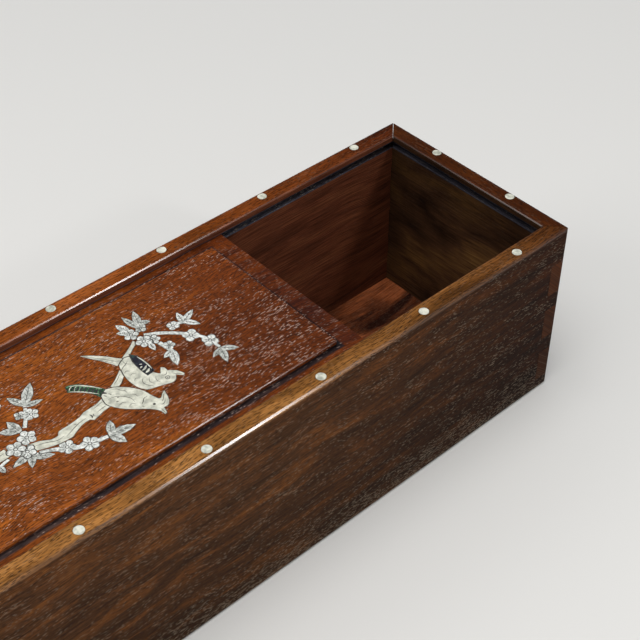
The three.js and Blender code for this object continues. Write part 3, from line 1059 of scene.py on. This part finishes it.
@dataclass
class Engraving:
    """Fine lines on the shell plates, which ride on the lid.

    A place on the field is in millimetres: u from its edge at the closed end, v from its
    front edge. Each line is a low ridge that starts in the plate and stands just proud. Real
    engraving is too fine to show in the render, so a line is drawn about twice as wide.
    """

    materials: dict
    field_edge_mm: Place = (55.0, -29.0)
    field_top_mm: float = 68.4
    rise_mm: float = 0.03
    sink_mm: float = 0.02
    steps: int = 3
    end_share: float = 0.3
    widening: float = 2.2
    flat_mm: float = 0.01

    def build(self, name: str, strokes: list[Stroke], finish: RubbedLac | PolishedShell) -> None:
        """Makes one piece of all its strokes.

        Args:
            name: The piece's name.
            strokes: Its lines.
            finish: What fills or forms them.
        """
        mesh = bpy.data.meshes.new(name)
        work = bmesh.new()
        for stroke in strokes:
            self.ridge(work, stroke)
        work.to_mesh(mesh)
        work.free()
        piece = bpy.data.objects.new(name, mesh)
        bpy.context.scene.collection.objects.link(piece)
        mesh.materials.append(self.materials[finish.name])
        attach(piece, "lid")
        LOG.info("%s: %d strokes", name, len(strokes))

    def joint(self, plate: bpy.types.Object, width: float) -> list[Stroke]:
        """Follows the upper edge of a shell plate, where lac fills the joint with the wood.

        Args:
            plate: The plate.
            width: The line's width, in millimetres.

        Returns:
            Closed strokes, one for each loop of the edge.
        """
        mesh = plate.data
        top = max(vertex.co.z for vertex in mesh.vertices)
        spots = [(round(v.co.x / MM, 3), round(v.co.y / MM, 3)) for v in mesh.vertices]
        uses = {}
        for face in mesh.polygons:
            if all(top - mesh.vertices[i].co.z < self.flat_mm * MM for i in face.vertices):
                for start, end in face.edge_keys:
                    side = tuple(sorted((spots[start], spots[end])))
                    uses[side] = uses.get(side, 0) + 1
        neighbours = {}
        for (start, end), count in uses.items():
            if count == 1:
                neighbours.setdefault(start, []).append(end)
                neighbours.setdefault(end, []).append(start)
        edge_x, edge_y = self.field_edge_mm
        strokes = []
        while neighbours:
            spot = min(neighbours)
            loop = []
            while spot in neighbours:
                loop.append((edge_x - spot[0], spot[1] - edge_y))
                ways = neighbours.pop(spot)
                spot = next((way for way in ways if way in neighbours), spot)
            strokes.append(Stroke(width, tuple(loop), True))
        return strokes

    def ridge(self, work: bmesh.types.BMesh, stroke: Stroke) -> None:
        """Adds a line as a low ridge that thins at both ends.

        Args:
            work: The mesh being made.
            stroke: The line.
        """
        path = self.smoothed(stroke)
        count = len(path)
        # Only the part above the shell shows, so the flanks start wider than the line.
        flank = (self.rise_mm + self.sink_mm) / self.rise_mm
        low = self.field_top_mm - self.sink_mm
        high = self.field_top_mm + self.rise_mm
        rows = []
        for i, spot in enumerate(path):
            before = path[i - 1] if i or stroke.closed else spot
            after = path[(i + 1) % count] if i < count - 1 or stroke.closed else spot
            along = (after - before).normalized()
            across = Vector((-along.y, along.x))
            from_end = min(i, count - 1 - i) / count
            share = 1.0 if stroke.closed else min(1.0, self.end_share + self.widening * from_end)
            half = across * (stroke.width * share * flank / 2)
            corners = [(spot + half, low), (spot, high), (spot - half, low)]
            rows.append([work.verts.new((at.x * MM, at.y * MM, z * MM)) for at, z in corners])
        pairs = list(zip(rows, rows[1:]))
        if stroke.closed:
            pairs.append((rows[-1], rows[0]))
        for first, second in pairs:
            for k in (0, 1):
                work.faces.new((first[k], first[k + 1], second[k + 1], second[k]))

    def smoothed(self, stroke: Stroke) -> list[Vector]:
        """Draws a smooth path through a line's stops.

        Args:
            stroke: The line.

        Returns:
            Points in millimetres, seen from above.
        """
        edge_x, edge_y = self.field_edge_mm
        stops = [Vector((edge_x - u, edge_y + v)) for u, v in stroke.stops]
        if stroke.closed:
            return stops
        padded = [stops[0], *stops, stops[-1]]
        path = []
        for a, b, c, d in zip(padded, padded[1:], padded[2:], padded[3:]):
            for step in range(self.steps):
                t = step / self.steps
                turn = (c - a) * t + (2 * a - 5 * b + 4 * c - d) * t**2
                path.append(b + (turn + (3 * b - a - 3 * c + d) * t**3) / 2)
        path.append(stops[-1])
        return path


BLOSSOMS = (
    Blossom((43, 41.9), 2.4, 0.9),
    Blossom((41.8, 37.3), 2.6, 0.4),
    Blossom((39.2, 35.9), 2, 0.9),
    Blossom((87.9, 27.8), 2.8, 0.2),
    Blossom((92.5, 26.2), 2.8, 0.7),
    Blossom((90.6, 23.4), 2.5, 0.4),
    Blossom((39.2, 42.4), 1.9, 0.3, 4),
    Blossom((30.1, 30.2), 2.7, 0.75, 4),
    Blossom((27.3, 24.8), 2.6, 0.62, 4),
    Blossom((31.5, 36.9), 2, 0.75, 4),
    Blossom((37.4, 31.1), 1.9, 0.8),
    Blossom((81.8, 17.7), 2.6, 0.6),
    Blossom((76.6, 14.7), 2.8, 0.2),
    Blossom((84.9, 36), 1.7, 0.5, 4),
    Blossom((82.2, 34.4), 2.3, 0.1),
    Blossom((104, 20.7), 2.5, 0.5),
    Blossom((97.6, 34), 2.6, 0.5),
    Blossom((129, 36.4), 2.8, 0.4),
    Blossom((142, 41.6), 2.7, 0.9),
    Blossom((155, 43), 2.4, 0.1),
    Blossom((187, 29.4), 2.8, 0.2),
    Blossom((200, 34.4), 2.6, 0.6),
    Blossom((212, 35), 2.4, 1),
    Blossom((149, 11.9), 2.6, 0.5),
)

LEAVES = (
    Leaf((42.4, 43), (44, 48.3), 2.5),
    Leaf((43, 43.2), (45.9, 45.2), 2),
    Leaf((41, 36), (41.6, 31.9), 1.9),
    Leaf((39.7, 42.6), (40.6, 49.9), 2.1),
    Leaf((38.9, 43), (36.4, 49.9), 2.5),
    Leaf((38.8, 44.8), (35.2, 42.9), 2.1),
    Leaf((26.5, 20.3), (31.2, 18.7), 1.9),
    Leaf((26.9, 20.7), (29.3, 14.4), 2.5),
    Leaf((27.6, 20.6), (22.9, 16.9), 2.2),
    Leaf((28.5, 35.4), (27.2, 40.8), 2.2),
    Leaf((29.2, 35.8), (22.6, 38.7), 2.3),
    Leaf((28.4, 37.2), (24.9, 32.1), 2.2),
    Leaf((37.8, 29), (41.8, 27.8), 1.9),
    Leaf((37.7, 29.5), (40.7, 22.8), 2.8),
    Leaf((70.6, 13.2), (67.6, 18.2), 2.6),
    Leaf((71, 13.8), (63.1, 12.2), 2.9),
    Leaf((70.8, 14.6), (68.8, 8.5), 3),
    Leaf((90, 22.4), (96.6, 21.1), 2.4),
    Leaf((89.6, 22.8), (92.9, 17.6), 2.4),
    Leaf((91.4, 21.6), (85.6, 17.7), 2.7),
    Leaf((88, 30), (88.8, 36.4), 3),
    Leaf((87.4, 30.8), (92.8, 34.4), 2.7),
    Leaf((81.4, 37.8), (83.9, 44.1), 2.4),
    Leaf((81.9, 38.2), (75.6, 44.9), 3.3),
    Leaf((82.6, 38.2), (76.6, 37), 2),
    Leaf((99, 23.8), (99, 20.9), 1.8),
    Leaf((107.4, 17.6), (113.4, 17.4), 2.4),
    Leaf((107.8, 18), (110.8, 12.2), 2.6),
    Leaf((108.6, 17.8), (105.2, 13.4), 2.1),
    Leaf((93, 40.4), (86.3, 43), 2.5),
    Leaf((92.6, 40.2), (91.6, 47.4), 2.5),
    Leaf((91.8, 40.6), (97.2, 43.6), 2.2),
    Leaf((164.6, 41.2), (171.6, 44), 2.5),
    Leaf((164.6, 41.4), (173.4, 39.4), 2.4),
    Leaf((165.4, 42), (168.6, 36), 2.4),
    Leaf((220.6, 32), (228.6, 33.6), 2.5),
    Leaf((220.6, 32.4), (228.4, 28.8), 2.4),
    Leaf((221.6, 32.8), (221.4, 26), 2.4),
    Leaf((156.6, 9.2), (164, 11.4), 2.4),
    Leaf((156.6, 9.6), (164.4, 6.6), 2.4),
    Leaf((157.6, 9.8), (158.4, 4), 2.2),
)

BIRD_LINES = (
    ring((45.75, 20.8), 0.62, 0.24),
    ring((45.75, 20.8), 0.12, 0.24, 8),
    Stroke(0.18, ((43.8, 20.9), (42.7, 20.2), (41.8, 19.1))),
    Stroke(0.2, ((46.7, 22.9), (46, 22.2), (45.2, 22.2), (44.6, 22.9))),
    Stroke(0.2, ((51, 25.3), (52.1, 24), (51.9, 22.3), (50.8, 20.9))),
    Stroke(0.16, ((49.6, 24.3), (50.5, 22.8), (49.9, 21.2))),
    Stroke(0.16, ((47.9, 23.5), (48.7, 22.2), (48.4, 20.6))),
    Stroke(0.22, ((54, 31.6), (52.8, 32.4), (51.6, 32.9), (50.4, 33.6))),
    Stroke(0.18, ((53.9, 30.3), (52.9, 30.6), (52.2, 29.9))),
    Stroke(0.16, ((51.2, 34.8), (51.3, 33.4), (50.4, 32))),
    Stroke(0.16, ((53.2, 28.2), (52.3, 28.7), (51.5, 28))),
    Stroke(0.16, ((53.6, 25.9), (52.7, 26.5), (51.8, 25.9))),
    Stroke(0.18, ((52.4, 35.2), (54.8, 38.7), (57.8, 42.6))),
    Stroke(0.16, ((53.6, 35.4), (55.2, 38.2), (57, 40.9))),
    ring((54.9, 14.95), 0.22, 0.44, 8),
    Stroke(0.18, ((54.5, 12.3), (54.6, 11.3), (54.6, 10.3))),
    Stroke(0.26, ((57.5, 17.2), (56.7, 17.7), (55.7, 18.6), (54.5, 18.7))),
    Stroke(0.26, ((57.9, 16.6), (57.4, 16))),
    Stroke(0.2, ((52.7, 14.4), (51.6, 15.1), (50.5, 16.5))),
    Stroke(0.2, ((53.5, 13.4), (52.4, 13.6), (51.6, 14.3))),
    Stroke(0.2, ((63.4, 24.8), (61.4, 24.6), (59.6, 23.2), (58.3, 21), (58.4, 19.2))),
    Stroke(0.34, ((62.2, 22.7), (61.6, 22.3))),
    Stroke(0.34, ((61.1, 23.9), (60.5, 23.6))),
    Stroke(0.16, ((62.6, 20.9), (61.2, 21.3), (60.2, 20.6))),
    Stroke(0.16, ((60.6, 18.8), (59.4, 19.2), (58.6, 18.4))),
    Stroke(0.16, ((57.6, 22.4), (56.6, 21.6), (56.5, 20.3))),
    Stroke(0.16, ((58.9, 25.6), (57.9, 24.7), (57.8, 23.5))),
    Stroke(0.2, ((60.2, 27.4), (59.1, 26.6), (58.6, 25.6))),
    Stroke(0.7, ((63.2, 28.3), (62.7, 27.7), (62.2, 27))),
    Stroke(0.3, ((61.9, 26.7), (61.5, 25.7))),
    Stroke(0.3, ((63.3, 27), (62.9, 26))),
)

BARK_LINES = (
    Stroke(0.45, ((70.7, 22), (70.3, 22.6), (70.5, 23.6))),
    Stroke(0.3, ((69.9, 22.2), (69.6, 23.1))),
    Stroke(0.2, ((79.6, 21), (77, 22), (74.4, 22.8), (71.8, 23.1))),
    Stroke(0.2, ((88.4, 23.8), (85.4, 22.9), (82.4, 21.4), (80, 21.6))),
    Stroke(0.18, ((68.6, 24.6), (66.8, 24.9), (65, 25.3))),
    Stroke(0.18, ((68.4, 22.9), (66.6, 23.2), (64.8, 23.4))),
    Stroke(0.22, ((75.8, 23.6), (75.2, 22.8))),
    Stroke(0.18, ((58.8, 28.6), (57, 29.4), (55, 30.9))),
    Stroke(0.24, ((99, 27.6), (97.4, 26.9), (95.6, 27))),
    Stroke(0.2, ((107, 28.8), (104, 27.4), (101, 27.2))),
    Stroke(0.3, ((110.5, 27.6), (110, 26.6), (110.6, 25.9))),
    Stroke(0.2, ((124, 26), (119, 26.6), (113.6, 27.4))),
    Stroke(0.2, ((122, 24.4), (117, 25), (112.6, 25.8))),
    Stroke(0.22, ((138, 21.4), (133, 22.8), (128, 24.8))),
    Stroke(0.22, ((136, 19.6), (132, 20.6), (128.4, 22.6))),
    Stroke(0.34, ((138.6, 21), (138, 20.2), (138.8, 19.4))),
    Stroke(0.22, ((158, 20.2), (150, 19.6), (143, 20.4))),
    Stroke(0.22, ((156, 18), (150, 17.4), (144, 18.2))),
    Stroke(0.24, ((178, 17.4), (171, 19.6), (163, 20.4))),
    Stroke(0.24, ((180, 14.6), (172, 17.2), (164, 18))),
    Stroke(0.36, ((173.6, 18.6), (172.8, 17.6), (173.8, 16.6))),
    Stroke(0.26, ((193.6, 10.8), (188, 13.6), (182, 16))),
    Stroke(0.26, ((194.4, 8.2), (188, 11), (182.6, 13.2))),
    Stroke(0.28, ((198.6, 8), (201, 11.6), (204, 11))),
    Stroke(0.28, ((206, 6), (209.6, 11), (212.6, 8.4))),
    Stroke(0.28, ((196, 4.6), (203, 6.8), (212, 5.4), (217.6, 6.6))),
)

TAIL_AND_WING_BARS = (
    Stroke(0.5, ((63.9, 28.4), (63.1, 28.9), (62.3, 29.3))),
    Stroke(0.78, ((64.5, 29.1), (63.8, 29.7), (62.9, 30.1))),
    Stroke(0.78, ((65.2, 29.9), (64.4, 30.6), (63.4, 31))),
    Stroke(0.78, ((65.9, 30.8), (65, 31.4), (64.1, 31.9))),
    Stroke(0.78, ((66.6, 31.6), (65.8, 32.3), (64.9, 32.8))),
    Stroke(0.78, ((67.3, 32.5), (66.5, 33.1), (65.6, 33.6))),
    Stroke(0.78, ((68, 33.3), (67.2, 33.9), (66.4, 34.4))),
    Stroke(0.78, ((68.6, 34.1), (68, 34.5), (67.3, 35.1))),
    Stroke(0.5, ((69, 35), (68.4, 35.4))),
    Stroke(0.5, ((69.9, 35.3), (69.3, 36))),
    Stroke(0.5, ((49.3, 27.1), (48.4, 27.3), (47.3, 27.9))),
    Stroke(0.5, ((49.1, 25.8), (48.2, 25.9), (47, 26.5))),
)

TAIL_AND_WING_PEARL = (
    Stroke(0.4, ((63.9, 28.2), (65.4, 30.3), (67.4, 32.6), (69.7, 34.6))),
    Stroke(0.45, ((62.1, 29.6), (63.9, 32.2), (66.2, 34.8), (68.5, 36.3))),
    Stroke(0.3, ((68.4, 33.8), (67.7, 34.7), (66.9, 34.9))),
    Stroke(0.3, ((69.4, 34.9), (68.8, 35.4), (67.9, 35.8))),
    Stroke(0.4, ((47.2, 33.4), (46.8, 31), (46.8, 28.2), (47, 26.6))),
    Stroke(0.3, ((48.6, 30.4), (47.9, 29.9))),
    Stroke(0.5, ((49.3, 29), (48.4, 29.2))),
    Stroke(0.65, ((49.4, 27.8), (48.3, 28), (47.3, 28.7))),
    Stroke(0.75, ((49.2, 26.5), (48.3, 26.6), (47.4, 27.2))),
)


@dataclass
class InlayLines:
    """All the engraving and the pieced bars of the inlaid picture."""

    engraving: Engraving
    plates: list
    joint_mm: float = 0.1
    heart_share: float = 0.2
    heart_mm: float = 0.26
    # A blossom's lines between its petals, and its stamens: the turn as a share of a petal,
    # the start and end as shares of its radius, and the width in millimetres.
    petal_lines: tuple = ((0.5, 0.28, 0.84, 0.3), (0.0, 0.34, 0.62, 0.14))
    # A leaf's midrib and side veins, as shares of its length and width.
    midrib: Place = (0.12, 0.88)
    midrib_mm: float = 0.22
    vein_starts: Triple = (0.25, 0.42, 0.59)
    vein_reach: Place = (0.13, 0.26)
    vein_mm: float = 0.14

    def build(self) -> None:
        """Builds the lines of the birds, the blossoms, the leaves, the bark and the joints."""
        edges = [self.engraving.joint(plate, self.joint_mm) for plate in self.plates]
        joints = [line for edge in edges for line in edge]
        blossom_lines = [stroke for blossom in BLOSSOMS for stroke in self.blossom(blossom)]
        leaf_lines = [stroke for leaf in LEAVES for stroke in self.leaf(leaf)]
        self.engraving.build("lac_joints", joints, LAC)
        self.engraving.build("bird_engraving", list(BIRD_LINES), LAC)
        self.engraving.build("blossom_engraving", blossom_lines, LAC)
        self.engraving.build("leaf_engraving", leaf_lines, LAC)
        self.engraving.build("bark_engraving", list(BARK_LINES), LAC)
        self.engraving.build("tail_and_wing_bars", list(TAIL_AND_WING_BARS), DEEP_LAC)
        self.engraving.build("tail_and_wing_pearl", list(TAIL_AND_WING_PEARL), CREAM_PEARL)

    def blossom(self, blossom: Blossom) -> list[Stroke]:
        """Gives a blossom's heart, its petals' edges and its stamens.

        Args:
            blossom: The blossom.

        Returns:
            Its strokes.
        """
        centre = Vector(blossom.centre)
        heart = ring(blossom.centre, self.heart_share * blossom.radius, self.heart_mm, 8)
        strokes = [heart]
        for i in range(blossom.petals):
            for offset, start, end, width in self.petal_lines:
                angle = 2 * math.pi * (i + offset) / blossom.petals + blossom.turn
                reach = Vector((-math.cos(angle), math.sin(angle))) * blossom.radius
                stops = (tuple(centre + reach * start), tuple(centre + reach * end))
                strokes.append(Stroke(width, stops))
        return strokes

    def leaf(self, leaf: Leaf) -> list[Stroke]:
        """Gives a leaf's midrib and side veins.

        Args:
            leaf: The leaf.

        Returns:
            Its strokes.
        """
        base = Vector(leaf.base)
        along = Vector(leaf.tip) - base
        across = Vector((-along.y, along.x)).normalized() * leaf.width
        start, end = self.midrib
        strokes = [Stroke(self.midrib_mm, (tuple(base + along * start), tuple(base + along * end)))]
        forward, sideways = self.vein_reach
        for start in self.vein_starts:
            for side in (-1, 1):
                end = base + along * (start + forward) + across * (sideways * side)
                strokes.append(Stroke(self.vein_mm, (tuple(base + along * start), tuple(end))))
        return strokes


@dataclass(frozen=True)
class Softbox:
    """A square soft light that faces the box: its place and side in metres, its power in watts."""

    name: str
    place: Triple
    side: float
    power: float
    aim: Triple = (0.0, 0.0, 0.04)

    def build(self) -> None:
        """Makes the light."""
        data = bpy.data.lights.new(self.name, "AREA")
        data.shape = "SQUARE"
        data.size = self.side
        data.energy = self.power
        lamp = bpy.data.objects.new(self.name, data)
        lamp.location = self.place
        aim = Vector(self.aim) - Vector(self.place)
        lamp.rotation_euler = aim.to_track_quat("-Z", "Y").to_euler()
        bpy.context.scene.collection.objects.link(lamp)


@dataclass
class Studio:
    """The floor, the soft lights and the camera."""

    camera_mm: Triple = (-145.7, -241.9, 341.0)
    azimuth: float = 42.3
    elevation: float = 42.14
    roll: float = 0.16
    lens_mm: float = 77.83
    sensor_mm: float = 36.0
    floor_half: float = 12.0
    floor_colour: str = "dcdad6"
    floor_fade: Place = (0.3, 1.1)
    backdrop: str = "e4e3e0"
    sky: str = "dfe3e8"
    sky_strength: float = 0.4
    # Each rim lamp stands where a rounded arris of the rim mirrors it to the camera.
    lamps: tuple[Softbox, ...] = (
        Softbox("overhead_softbox", (-0.25, -0.15, 1.3), 0.9, 12.0),
        Softbox("side_softbox", (-1.1, 0.5, 0.8), 0.8, 6.0),
        Softbox("front_rim_lamp", (0.532, -0.948, 0.75), 0.1, 1.7),
        Softbox("back_rim_lamp", (0.511, -0.774, 0.885), 0.1, 1.6),
    )

    def build(self) -> None:
        """Makes the floor, the world, the lamps and the camera."""
        self.floor()
        self.world()
        for lamp in self.lamps:
            lamp.build()
        self.camera()
        bpy.context.scene.view_settings.view_transform = "Standard"

    def floor(self) -> None:
        """Makes the plain pale floor."""
        mesh = bpy.data.meshes.new("floor")
        half = self.floor_half
        corners = [(-half, -half, 0), (half, -half, 0), (half, half, 0), (-half, half, 0)]
        mesh.from_pydata(corners, [], [(0, 1, 2, 3)])
        floor = bpy.data.objects.new("floor", mesh)
        bpy.context.scene.collection.objects.link(floor)
        mesh.materials.append(self.floor_paint())

    def floor_paint(self) -> Material:
        """Returns a pale matt paint that passes into the backdrop far from the box."""
        material, tree, shader = new_material("pale_floor")
        shader.inputs["Base Color"].default_value = srgb(self.floor_colour)
        shader.inputs["Roughness"].default_value = 0.8
        shader.inputs["Specular IOR Level"].default_value = 0.2
        place = add_node(tree, "TexCoord")["Object"]
        away = add_node(tree, "VectorMath", {"operation": "LENGTH"}, {0: place})
        near, far = self.floor_fade
        fade = add_node(tree, "MapRange", {LOW: near, HIGH: far}, {VALUE: away["Value"]})
        path = add_node(tree, "LightPath")
        seen = overlap(tree, [fade[0], path["Is Camera Ray"]])
        backdrop = add_node(tree, "Emission", {"Color": srgb(self.backdrop)})
        mixed = add_node(tree, "MixShader", links={0: seen, 1: shader.outputs[0], 2: backdrop[0]})
        tree.links.new(mixed[0], tree.nodes["Material Output"].inputs["Surface"])
        return material

    def world(self) -> None:
        """Sets an even soft light, and a pale backdrop where the camera looks."""
        world = bpy.data.worlds.new("studio")
        bpy.context.scene.world = world
        world.use_nodes = True
        tree = world.node_tree
        light = tree.nodes["Background"]
        light.inputs["Color"].default_value = srgb(self.sky)
        light.inputs["Strength"].default_value = self.sky_strength
        backdrop = add_node(tree, "Background", {"Color": srgb(self.backdrop)})
        path = add_node(tree, "LightPath")
        mixed = add_node(
            tree, "MixShader", links={0: path["Is Camera Ray"], 1: light.outputs[0], 2: backdrop[0]}
        )
        tree.links.new(mixed[0], tree.nodes["World Output"].inputs["Surface"])

    def camera(self) -> None:
        """Sets the camera at the photograph's angle."""
        data = bpy.data.cameras.new("camera")
        data.lens = self.lens_mm
        data.sensor_width = self.sensor_mm
        data.sensor_fit = "HORIZONTAL"
        data.clip_start = 0.01
        camera = bpy.data.objects.new("camera", data)
        turn = Matrix.Rotation(math.radians(-self.azimuth), 4, "Z")
        tilt = Matrix.Rotation(math.radians(90 - self.elevation), 4, "X")
        roll = Matrix.Rotation(math.radians(self.roll), 4, "Z")
        camera.matrix_world = Matrix.Translation(Vector(self.camera_mm) * MM) @ turn @ tilt @ roll
        bpy.context.scene.collection.objects.link(camera)
        bpy.context.scene.camera = camera


def main() -> None:
    """Dresses the box and sets the studio."""
    logging.basicConfig(level=logging.INFO, format="%(message)s")
    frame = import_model()
    slots = {part["node"]: part["material_slot"] for part in frame["record"]["subparts"]}
    materials = {finish.name: finish.build() for finish in FINISHES}
    Studio().build()
    Woodwork(frame["nodes"], materials).dress()
    ShellWork(frame["nodes"], materials, slots).dress()
    plates = [
        frame["nodes"][name]
        for name, slot in slots.items()
        if slot in SHELL_SLOTS and not name.startswith("dot_")
    ]
    InlayLines(Engraving(materials), plates).build()


if __name__ == "__main__":
    main()
